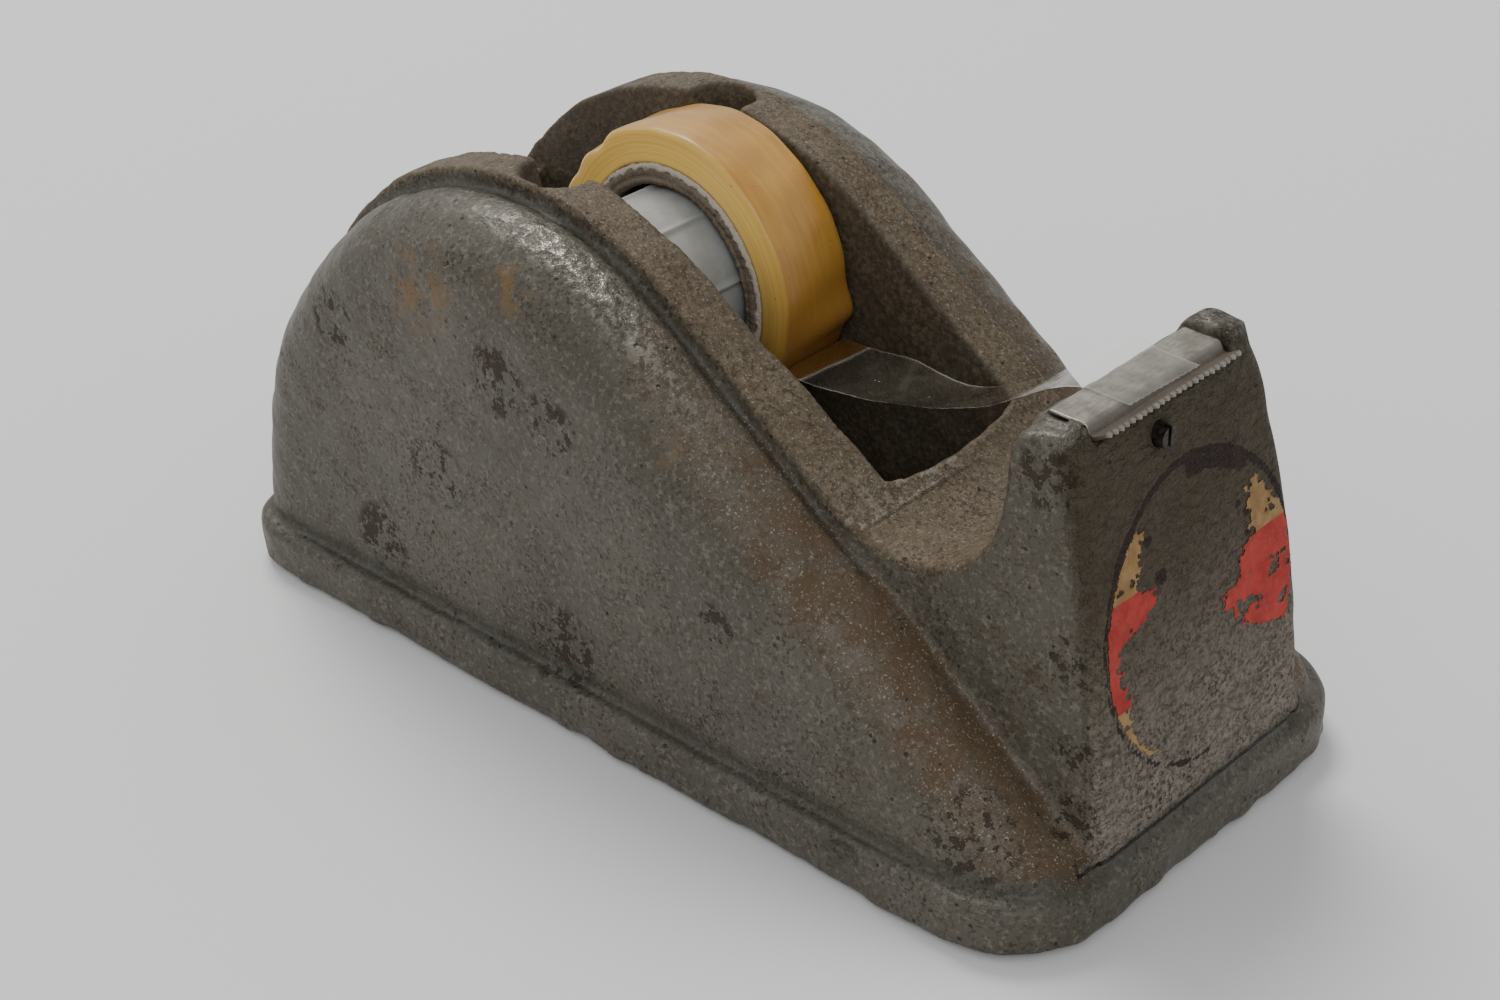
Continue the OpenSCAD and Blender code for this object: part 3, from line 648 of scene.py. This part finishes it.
def build_casting():
    """The painted casting. What its paint looks like at each point is worked out from the same forms."""
    cell, margin = 0.62, 1.5
    low = (-FLANGE_L / 2 - margin, -FLANGE_W / 2 - margin, -margin)
    high = (FLANGE_L / 2 + margin, FLANGE_W / 2 + margin, DOME_Z + DOME_R + margin)
    points, quads = mesh_from_distance(casting, low, high, cell)
    floor = Vector((0, 0, FOOT))
    points = np.clip(points, cast_low - floor, cast_high - floor)
    ob = make_object("casting_skin", points, quads, PAINT)
    x, y, z = points.T
    is_slab = slab(x, y, z) < cheeks(x, y, z)
    in_bay = step(-bay(x, y, z), -0.9, 0.2)
    in_slot = step(-axle_slots(x, y, z), -0.9, 0.1)
    inside = np.maximum(in_bay, in_slot * (np.abs(y) < SLOT_REACH + 1))
    beyond_slab = np.abs(y) - SLAB_W / 2
    facing = np.hypot(x - FRONT_ARC, z - FRONT_DROP) - FRONT_BOW
    front = step(facing, -2.2, -0.6) * (z > FLANGE_H + 1) * (np.abs(y) < TOWER_FAR[0])
    top_line = np.minimum(dome(x, z), saddle_fillet(x, z))
    rim = is_slab * step(top_line, -1.5, -0.5) * (x < TOWER_BACK - 1) * (1 - inside)
    rim = rim * np.maximum(x > 0, step(z, 30, 46))
    upper = step(cheek_side(x, z), -7, -1) * (1 - is_slab) * (z > FLANGE_H + 2)
    valley = bell(beyond_slab, 2.5, 2.2) * step(x, 30, 42) * (1 - front) * (z > FLANGE_H)
    tower_side = 0.15 * step(x, 34, 46) * (1 - front) * (z > FLANGE_H + 2)
    slope = np.maximum(np.maximum(upper * step(x, -10, 38), tower_side), valley)
    shoulder = step(-np.abs(beyond_slab - 4.5), -4, -1)
    # bare metal with a painted highlight: a band along the shoulders beside the rim, the saddle and the knobs
    bare_metal_and_highlight = upper * shoulder * bell(x, -4, 16) * np.where(y < 0, 1, 0.3)
    bare_metal_and_highlight = np.maximum(bare_metal_and_highlight, 0.7 * bell(x, SADDLE_X - 4, 6) * is_slab * (y < 0) * (1 - inside) * (z > 38))
    beside_blade = step(np.abs(y) - BLADE_W / 2, 0, 1)
    knob = (x > TOWER_BACK) * step(z, TOWER_H - 4, TOWER_H) * beside_blade
    bare_metal_and_highlight = np.maximum(bare_metal_and_highlight, 0.35 * knob)
    # grime and painted shade along the foot of the body, in the seam, at the knobs and in the blow-holes
    recess_shade_and_grime = 0.6 * step(-np.abs(z - FLANGE_H - 0.8), -2.2, -0.2) * (body(x, y, z) > -0.6)
    notch = step(-np.abs(beyond_slab - SEAM_GAP), -0.8, -0.2) * (x < SEAM_END) * (z > 20)
    notch = notch * (cheek_side(x, z) < 1.0)
    for centre, r in BLOW_HOLES:
        recess_shade_and_grime = np.maximum(recess_shade_and_grime, bell(hole_gap(x, y, z, centre), 0, r))
    label = np.hypot(y - LABEL_Y, z - LABEL_Z)
    torn = 0.35 + 0.65 * step(z + 0.5 * y, 34, 40) + 0.3 * (y < LABEL_Y)
    ring = front * step(-np.abs(label - LABEL_R - 0.3), -0.8, -0.2) * np.minimum(torn, 1)
    crust = 0.9 * bell(label, LABEL_R - 1.2, 1.3) * step(z, 42, 46) * (y > 2)
    for cy, cz, r in GLUE_FLECKS:
        crust = np.maximum(crust, 0.9 * bell(np.hypot(y - cy, z - cz), 0, r))
    for name, values in {"rim": rim, "front": front, "inside": inside, "slope": slope, "bare_metal_and_highlight": bare_metal_and_highlight,
                         "ring": np.maximum(ring, front * crust), "height": z,
                         "grime_and_shade": np.maximum(np.maximum(recess_shade_and_grime, 0.9 * notch), 0.6 * knob) * 0.8}.items():
        paint_attribute(ob, name, values)
    place(ob, "frame", "hammered_paint", "body_casting")


# ---------------- round pieces on the roll axis
def grid_faces(rows, columns, wrap_rows=False, wrap_columns=False):
    """Quads of a grid of points numbered row by row."""
    r = np.arange(rows if wrap_rows else rows - 1)
    c = np.arange(columns if wrap_columns else columns - 1)
    r, c = (a.ravel() for a in np.meshgrid(r, c, indexing="ij"))
    r2, c2 = (r + 1) % rows, (c + 1) % columns
    return np.stack([r * columns + c, r2 * columns + c, r2 * columns + c2, r * columns + c2], 1)


def revolve(name, profile, material, stations, shape):
    """Turns a closed profile of (radius, y) about the roll axis; shape moves each of its points."""
    angle = np.linspace(0, 2 * math.pi, stations, endpoint=False)[:, None]
    r0, y0 = (np.array(v, float)[None, :] for v in zip(*profile))
    r, y = (np.broadcast_to(v, (stations, len(profile))) for v in shape(angle, r0, y0))
    points = np.stack([AXIS_X + r * np.cos(angle), y, AXIS_Z + r * np.sin(angle)], -1).reshape(-1, 3)
    ob = make_object(name, points, grid_faces(stations, len(profile), True, True)[:, ::-1], material)
    paint_attribute(ob, "radius", r.ravel())
    return ob, angle + 0 * r, r


def turn_gap(angle, degrees):
    """Signed angle in degrees between angle and a bearing, -180 to 180."""
    return (np.degrees(angle) - degrees + 180) % 360 - 180


def build_roll():
    """Wound tape. The near edge stands prouder; loose turns at the back and a bulge in front."""
    inner, outer, near, far = 15.75, 19.6, 0.05, ROLL_FAR - 0.05

    def shape(angle, r, y):
        fraction = np.clip((r - inner) / (outer - inner), 0, 1)
        across = np.clip((y - near) / (far - near), 0, 1)
        near_r = 20.35 + 0.35 * bell(turn_gap(angle, 78), 0, 22) - 0.9 * bell(turn_gap(angle, 131), 0, 7)
        near_r = near_r - 0.5 * bell(turn_gap(angle, 149), 0, 6) - 0.5 * bell(turn_gap(angle, -20), 0, 25)
        far_r = 19.2 + 1.9 * bell(turn_gap(angle, 142), 0, 16) + 0.5 * bell(turn_gap(angle, 100), 0, 25)
        far_r = far_r + 1.35 * bell(turn_gap(angle, -8), 0, 7)
        edge = near_r + (far_r - near_r) * step(across, -0.1, 1.1) + 0.25 * np.sin(across * 3.1)
        edge = edge + 0.10 * np.sin(7 * angle + 5 * across) + 0.05 * np.sin(19 * angle - 3 * across)
        radius = inner + fraction * (edge - inner)
        on_near = (y < near + 0.5) * fraction
        sway = 0.03 * np.sin(r * 9.0) + 0.20 * np.sin(2 * angle + r)
        return radius, y + on_near * sway * bell(fraction, 0.55, 0.4)

    face = np.linspace(inner, outer - 0.35, 12)
    rim = [(outer - 0.12, 0.06), (outer, 0.35)]
    profile = [(r, near) for r in face] + [(r, near + y) for r, y in rim]
    profile += [(outer, y) for y in np.linspace(near + 0.9, far - 0.9, 16)]
    profile += [(r, far - y) for r, y in rim[::-1]] + [(r, far) for r in face[::-1]]
    ob, angle, r = revolve("roll_of_tape", profile, TAPE, 320, shape)
    on_face = np.array([[1.0] * 12 + [0.4] + [0.0] * 18 + [0.4] + [1.0] * 12]) + 0 * r
    paint_attribute(ob, "face", on_face.ravel())
    # mask of painted shade on the roll's underside, centred a little in front of straight down
    low = step(-np.abs(turn_gap(angle, -75)), -118, -35)
    paint_attribute(ob, "low", low.ravel())
    place(ob, "spool", None, "tape_roll")


def build_core():
    """The board core inside the roll, its near edge frayed."""
    inner, outer, near, far = 12.75, 15.68, -0.35, ROLL_FAR

    def shape(angle, r, y):
        turns = [(9, 0.4), (23, 1.0), (41, 2.3), (58, 0.7), (83, 1.9), (131, 0.2)]
        fray = 0.075 * sum(np.sin(n * angle + start + 0.7 * r) for n, start in turns)
        on_near = y < near + 0.9
        lift = on_near * (0.5 * fray + 0.10 * np.sin(5 * angle + 3 * r))
        return r + 0.6 * fray * on_near * (r > 13.4), y + lift

    profile = [(inner, near + 0.9), (inner + 0.12, near + 0.35), (inner + 0.35, near + 0.1)]
    profile += [(r, near) for r in np.linspace(inner + 0.6, outer - 0.5, 6)]
    profile += [(outer - 0.15, near + 0.12), (outer, near + 0.4), (outer, 6), (outer, far)]
    profile += [(inner, far), (inner, 6)]
    ob = revolve("core_ring", profile, BOARD, 360, shape)[0]
    place(ob, "spool", None, "tape_core")


def build_hub():
    """The drum's eight ribs run along it and fade at its rounded ends."""
    inner, outer, half = 10.4, 12.15, 12.7

    def shape(angle, r, y):
        gap = (np.degrees(angle) - 16.5 + 22.5) % 45 - 22.5
        rib = 0.45 * bell(gap * math.pi / 180 * outer, 0, 0.42) * step(half - np.abs(y), 0.1, 0.8)
        return r + rib * (r > outer - 0.3), y + 0 * r

    profile = [(inner, -half + 0.3), (inner + 0.3, -half), (outer - 0.6, -half), (outer - 0.15, -half + 0.15)]
    profile += [(outer, y) for y in np.linspace(-half + 0.6, half - 0.6, 14)]
    profile += [(outer - 0.15, half - 0.15), (outer - 0.6, half), (inner + 0.3, half), (inner, half - 0.3)]
    ob = revolve("hub_shell", profile, HUB, 720, shape)[0]
    place(ob, "spool", None, "hub_drum")


# ---------------- the free tape
# Both edges of the strip as it leaves the roll, dips, turns over and climbs to the cutter.
NEAR_EDGE = [(3.6, 0.0, 40.2), (7.0, -0.3, 40.5), (13.8, -1.1, 41.6), (19.1, -1.7, 42.7),
             (23.6, -2.2, 44.0), (33.2, -3.5, 47.4), (39.3, -4.3, 50.1), (45.4, -5.1, 53.9),
             (51.6, -6.0, 57.9), (55.4, -6.5, 59.42)]
FAR_EDGE = [(3.2, 12.5, 40.0), (8.0, 12.2, 40.4), (16.3, 11.3, 41.8), (20.8, 10.7, 41.9),
            (26.4, 10.0, 42.4), (34.7, 8.9, 46.1), (41.3, 8.0, 50.3), (45.7, 7.4, 54.2),
            (50.2, 6.9, 57.9), (53.4, 6.5, 59.9), (55.8, 6.2, 59.5)]
CUT_END = [(61.4, -6.5), (62.0, 6.0)]


def smooth_line(points, t):
    """A smooth curve through the points, by fractions t of its length."""
    points = np.array(points, float)
    at = np.concatenate([[0], np.cumsum(np.linalg.norm(np.diff(points, axis=0), axis=1))])
    tangent = np.gradient(points, at, axis=0)
    s = np.asarray(t) * at[-1]
    i = np.clip(np.searchsorted(at, s, side="right") - 1, 0, len(points) - 2)
    h = (at[i + 1] - at[i])[:, None]
    u = (s - at[i])[:, None] / h
    return ((2 * u**3 - 3 * u**2 + 1) * points[i] + (u**3 - 2 * u**2 + u) * h * tangent[i]
            + (3 * u**2 - 2 * u**3) * points[i + 1] + (u**3 - u**2) * h * tangent[i + 1])


def build_strip():
    """The loose end: it hangs between its two edges, then lies flat on the cutter."""
    rows, rest_rows, columns = 150, 24, 33
    t, u = np.linspace(0, 1, rows), np.linspace(0, 1, columns)
    near, far = smooth_line(NEAR_EDGE, t)[:, None], smooth_line(FAR_EDGE, t)[:, None]
    hang = near + (far - near) * u[None, :, None]
    v = np.linspace(0, 1, rest_rows + 1)[1:, None, None]
    ends = np.array([(x, y, BLADE_Z + 0.16) for x, y in CUT_END])
    cut = ends[0] + (ends[1] - ends[0]) * u[None, :, None]
    cut[..., 0] = cut[..., 0] + 0.12 * np.sin(u * 2 * math.pi * 12)
    lying = hang[-1:] * (1 - v) + cut * v
    lying[..., 2] = BLADE_Z + 0.10 + 0.12 * (1 - v[..., 0]) ** 2
    points = np.concatenate([hang, lying])
    x, y = points[..., 0], points[..., 1]
    free = step(54.5 - x, 0, 6) * step(x, 3, 8)
    cup = 0.7 * bell(x, 22, 9) * (1 - (2 * u[None, :] - 1) ** 2)
    crinkle = 0.10 * np.sin(0.5 * x + 0.5 * y) * np.sin(0.37 * y + 0.2 * x)
    crinkle = crinkle + 0.02 * np.sin(2.3 * x - 1.1 * y)
    points[..., 2] += free * (crinkle - cup)
    points[..., 2] += (1 - free) * 0.02 * np.sin(1.7 * x) * np.sin(0.9 * y) * (x > 54)
    total = points.shape[0]
    ob = make_object("loose_strip", points.reshape(-1, 3), grid_faces(total, columns), FILM)
    sides = step(np.abs(u - 0.5), 0.475, 0.5)[None, :]
    rim = np.maximum(sides, step(np.arange(total)[:, None], total - 2.5, total - 1))
    paint_attribute(ob, "edge", (rim * (1 - 0.5 * step(x, 54, 56))).ravel())
    fold = x - 7.0 - 0.08 * y
    crease = bell(fold, 0, 0.35) + 0.15 * bell(x + 0.5 * y, 22, 0.5) * (y > 4)
    paint_attribute(ob, "crease", crease.ravel())
    paint_attribute(ob, "amber", (1 - step(fold, -0.5, 0.1)).ravel())
    paint_attribute(ob, "pale", (step(x, 42, 47) * (1 - 0.65 * step(x, 55, 56))).ravel())
    place(ob, "frame", None, "tape_tail")


# ---------------- the cutter
def build_cutter():
    """Sheet steel: rolled rear lip, flat seat, step down, rising ledge and small worn teeth."""
    thick, teeth, tooth = 0.6, 24, 0.8
    back, bend, tip, high = BLADE_BACK, BLADE_BEND, BLADE_TIP, BLADE_Z
    low = high - BLADE_STEP
    top = [(back - 0.45, high - 0.55), (back - 0.3, high - 0.18), (back, high - 0.02), (back + 0.5, high),
           (back + 2.2, high - 0.04), (bend - 0.35, high), (bend - 0.05, high - 0.1),
           (bend + 0.15, high - 0.4), (bend + 0.4, low + 0.25), (bend + 0.7, low + 0.05),
           (bend + 1.1, low + 0.1), (tip - tooth - 0.3, low + 0.7), (tip - tooth, low + 0.85),
           (tip, low + 0.95)]
    under = [(x - 0.05, z - thick) for x, z in top[3:]]
    under[-1] = (tip, low + 0.55)
    profile = np.array(top + under[::-1] + [(back - 0.1, high - thick)])
    moves = np.where(profile[:, 0] > tip - 0.1, 1.0, 0.0)
    per_tooth = 6
    count = teeth * per_tooth + 1
    y = np.linspace(-BLADE_W / 2, BLADE_W / 2, count)
    rng = np.random.default_rng(11)
    worn = np.repeat(rng.uniform(0.75, 1.0, teeth + 1), per_tooth)[:count]
    bent = np.repeat(rng.normal(0, 0.07, teeth + 1), per_tooth)[:count]
    phase = (np.arange(count) % per_tooth) / per_tooth
    reach = np.minimum(1, 1.35 * (1 - np.abs(2 * phase - 1))) * worn
    points = np.zeros((count, len(profile), 3))
    points[..., 0] = profile[None, :, 0] - tooth * moves * (1 - reach[:, None])
    points[..., 1] = y[:, None]
    points[..., 2] = profile[None, :, 1] + moves * bent[:, None] * reach[:, None]
    points[..., 2] += 0.05 * np.sin(y * 0.35 + 1)[:, None] * (profile[None, :, 0] > bend + 0.3)
    faces = grid_faces(count, len(profile), False, True).tolist()
    end = list(range(len(profile)))
    faces += [end, [(count - 1) * len(profile) + i for i in end[::-1]]]
    ob = make_object("cutter_strip", points.reshape(-1, 3), faces, STEEL)
    across = profile[None, :, 0] + 0 * y[:, None]
    paint_attribute(ob, "tip", (moves[None, :] * reach[:, None]).ravel())
    paint_attribute(ob, "ledge", step(across, bend - 0.2, bend + 0.9).ravel())
    tang = make_object("cutter_tang", *box_mesh(TANG_LOW, TANG_HIGH, 0.15), STEEL)
    for piece in (ob, tang):
        place(piece, "frame", None, "cutter_blade")


def box_mesh(low, high, cut):
    """A plate with every edge cut back, as points and faces."""
    low, high = np.array(low, float), np.array(high, float)
    points = []
    for axis in range(3):
        for side in (0, 1):
            for a, b in ((0, 0), (1, 0), (1, 1), (0, 1)):
                p = np.zeros(3)
                others = [i for i in range(3) if i != axis]
                p[axis] = high[axis] if side else low[axis]
                for i, take in zip(others, (a, b)):
                    p[i] = high[i] - cut if take else low[i] + cut
                points.append(p)
    bm = bmesh.new()
    for p in points:
        bm.verts.new(p)
    bmesh.ops.convex_hull(bm, input=bm.verts)
    bm.verts.index_update()
    places, faces = [list(v.co) for v in bm.verts], [[v.index for v in f.verts] for f in bm.faces]
    bm.free()
    return places, faces


# ---------------- the label's remains
# How far each scrap reaches towards the middle of the label: (height, y) down its torn edge.
LEFT_TEAR = [(49, -9), (44.7, -7.6), (43.1, -6.8), (41.7, -8.2), (39.9, -9.0), (38.2, -9.2),
             (37.4, -6.2), (36, -6.2), (34.2, -9.4), (33.2, -13.4), (31.2, -13.6), (29.3, -14.4),
             (27, -12.4), (25, -12.4), (23, -12.8), (19.8, -11.0), (17.4, -8.5)]
RIGHT_TEAR = [(43.2, 14.2), (42.6, 12.7), (40, 12.3), (37.5, 12.4), (35.8, 12.6), (34.6, 10.0),
              (30.9, 9.3), (30.6, 6.0), (28.8, 6.6), (26.5, 8.6), (24.6, 11.0), (23.2, 14.2),
              (22.4, 17.5), (21.6, 21)]
# Heights of the red band's two edges on each scrap.
LEFT_BAND, RIGHT_BAND = (38.4, 25.2), (35.6, 14.0)


def build_label(name, node, side, tear, top_line, low_line):
    """A scrap of the round label, lying on the front face, its inner edge torn."""
    pitch = 0.24
    y, z = np.meshgrid(np.arange(-17, 21, pitch), np.arange(11, 50, pitch), indexing="ij")
    tear_z, tear_y = np.array(tear[::-1]).T
    ragged = 0.5 * waves(y, z, 0 * y, 1.6, 7, 3) + 0.35 * waves(y, z, 0 * y, 0.7, 5, 4)
    inner = np.interp(z, tear_z, tear_y) + ragged * 0.8
    keep = np.hypot(y - LABEL_Y, (z - LABEL_Z) * 1.02) + 0.12 * ragged < LABEL_R
    keep &= (z > tear_z[0]) & (z < tear_z[-1]) & ((y < inner) if side < 0 else (y > inner))
    keep &= y < tower_half(y, z) - 0.6
    keep &= waves(y, z, 0 * y, 3.2, 9, 21) + 0.9 * ragged < 2.0 - 0.5 * bell(z, 27, 4)
    if side > 0:
        keep &= z < 42.6 - 1.1 * np.maximum(y - 14.2, 0) + 0.6 * ragged
    x = front_x(z) + 0.3
    for _ in range(4):
        d = casting(x, y, z)
        x = x - d / np.maximum((casting(x + 0.02, y, z) - d) / 0.02, 0.5)
    faces = grid_faces(*y.shape)
    faces = faces[keep.ravel()[faces].all(1)]
    used = np.unique(faces)
    number = np.full(y.size, -1)
    number[used] = np.arange(len(used))
    points = np.stack([x + 0.09, y, z], -1).reshape(-1, 3)[used]
    band = step(z, low_line - 0.05, low_line + 0.05) * (1 - step(z, top_line - 0.05, top_line + 0.05))
    ob = make_object(name, points, number[faces], LABEL)
    paint_attribute(ob, "band", band.ravel()[used])
    place(ob, "frame", None, node)


# ---------------- the felt under the foot
def build_felt():
    """A felt sheet with worn edges, a little inside its CAD node's box."""
    low, high = (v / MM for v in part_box("felt_pad"))
    mid, length, width = (low.z + high.z) / 2 - FOOT, high.x - low.x, high.y - low.y
    corner, margin = 7.3, 0.8

    def felt(x, y, z):
        rim = plan(x, y, length - 0.5, width - 0.5, corner, corner) + 0.15 * waves(x, y, 0 * z, 3, 6, 8)
        nap = 0.04 * waves(x, y, z, 1.8, 8, 9)
        return round_max(rim, np.abs(z - mid) - (high.z - low.z) / 2 + 0.2, 0.5) + nap

    start = (low.x - margin, low.y - margin, low.z - FOOT - margin)
    stop = (high.x + margin, high.y + margin, high.z - FOOT + margin)
    points, quads = mesh_from_distance(felt, start, stop, 0.6)
    ob = place(make_object("felt_sheet", points, quads, FELT), "frame", None, "felt_pad")


build_casting()
build_roll()
build_core()
build_hub()
build_cutter()
build_strip()
build_label("label_scrap_left", "label_left", -1, LEFT_TEAR, *LEFT_BAND)
build_label("label_scrap_right", "label_right", 1, RIGHT_TEAR, *RIGHT_BAND)
build_felt()


# ---------------- camera, light and stage
# The photograph's view: azimuth, elevation and roll in degrees, lens and place in mm.
VIEW, LENS, SENSOR, CAMERA = (43.73, 31.30, -1.66), 64.24, 36, (206.9, -218.9, 203.1)
# Each lamp: name, place and width in metres, watts, colour.
LAMPS = [("key", (-1.2, 0.6, 2.0), 1.1, 40, (1, 0.98, 0.95)),
         ("side", (-0.9, -0.5, 0.7), 0.8, 2, (1, 1, 1)),
         ("fill", (1.4, -1.4, 1.6), 1.2, 14, (1, 1, 1))]


def add_camera():
    azimuth, elevation, roll = (math.radians(a) for a in VIEW)
    back = Vector((math.sin(azimuth) * math.cos(elevation), -math.cos(azimuth) * math.cos(elevation),
                   math.sin(elevation)))
    level = Vector((math.cos(azimuth), math.sin(azimuth), 0))
    up = back.cross(level)
    right = level * math.cos(roll) + up * math.sin(roll)
    up = back.cross(right)
    data = bpy.data.cameras.new("camera")
    data.lens, data.sensor_width = LENS, SENSOR
    ob = bpy.data.objects.new("camera", data)
    bpy.context.scene.collection.objects.link(ob)
    turn = Matrix((right, up, back)).transposed().to_4x4()
    ob.matrix_world = Matrix.Translation((Vector(CAMERA) + Vector((0, 0, FOOT))) * MM) @ turn
    bpy.context.scene.camera = ob


def add_lamp(name, place, size, power, colour):
    """A round soft light that points at the object."""
    data = bpy.data.lights.new(name, "AREA")
    data.shape, data.size, data.energy, data.color = "DISK", size, power, colour
    ob = bpy.data.objects.new(name, data)
    ob.location = place
    ob.rotation_mode = "QUATERNION"
    ob.rotation_quaternion = (-Vector(place)).to_track_quat("-Z", "Y")
    bpy.context.scene.collection.objects.link(ob)


def add_stage():
    """A pale floor that reaches far past the object, under an even sky and three lamps."""
    reach = 3000
    corners = [(-reach, -reach, 0), (reach, -reach, 0), (reach, reach, 0), (-reach, reach, 0)]
    floor = make_object("floor", corners, [(0, 1, 2, 3)], lift=0)
    m = Nodes("floor_paper")
    m.set(Base_Color=m.mix(m.noise(300, 2), (0.715, 0.71, 0.705), (0.735, 0.73, 0.725)), Roughness=0.85)
    floor.data.materials.append(m.mat)
    world = bpy.data.worlds.new("studio")
    world.use_nodes = True
    sky = world.node_tree.nodes["Background"].inputs
    sky["Color"].default_value, sky["Strength"].default_value = (0.95, 0.97, 1.0, 1), 0.62
    bpy.context.scene.world = world
    for lamp in LAMPS:
        add_lamp(*lamp)


add_camera()
add_stage()

# Pieces shown as the CAD made them only need a material.
for node, material in {"base_plate": PLATE, "base_screws": SCREW, "blade_screw": SCREW, "axle_pin": AXLE,
                       "hub_bush_near": HUB, "hub_bush_far": HUB}.items():
    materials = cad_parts[node].data.materials
    materials.clear()
    materials.append(material)
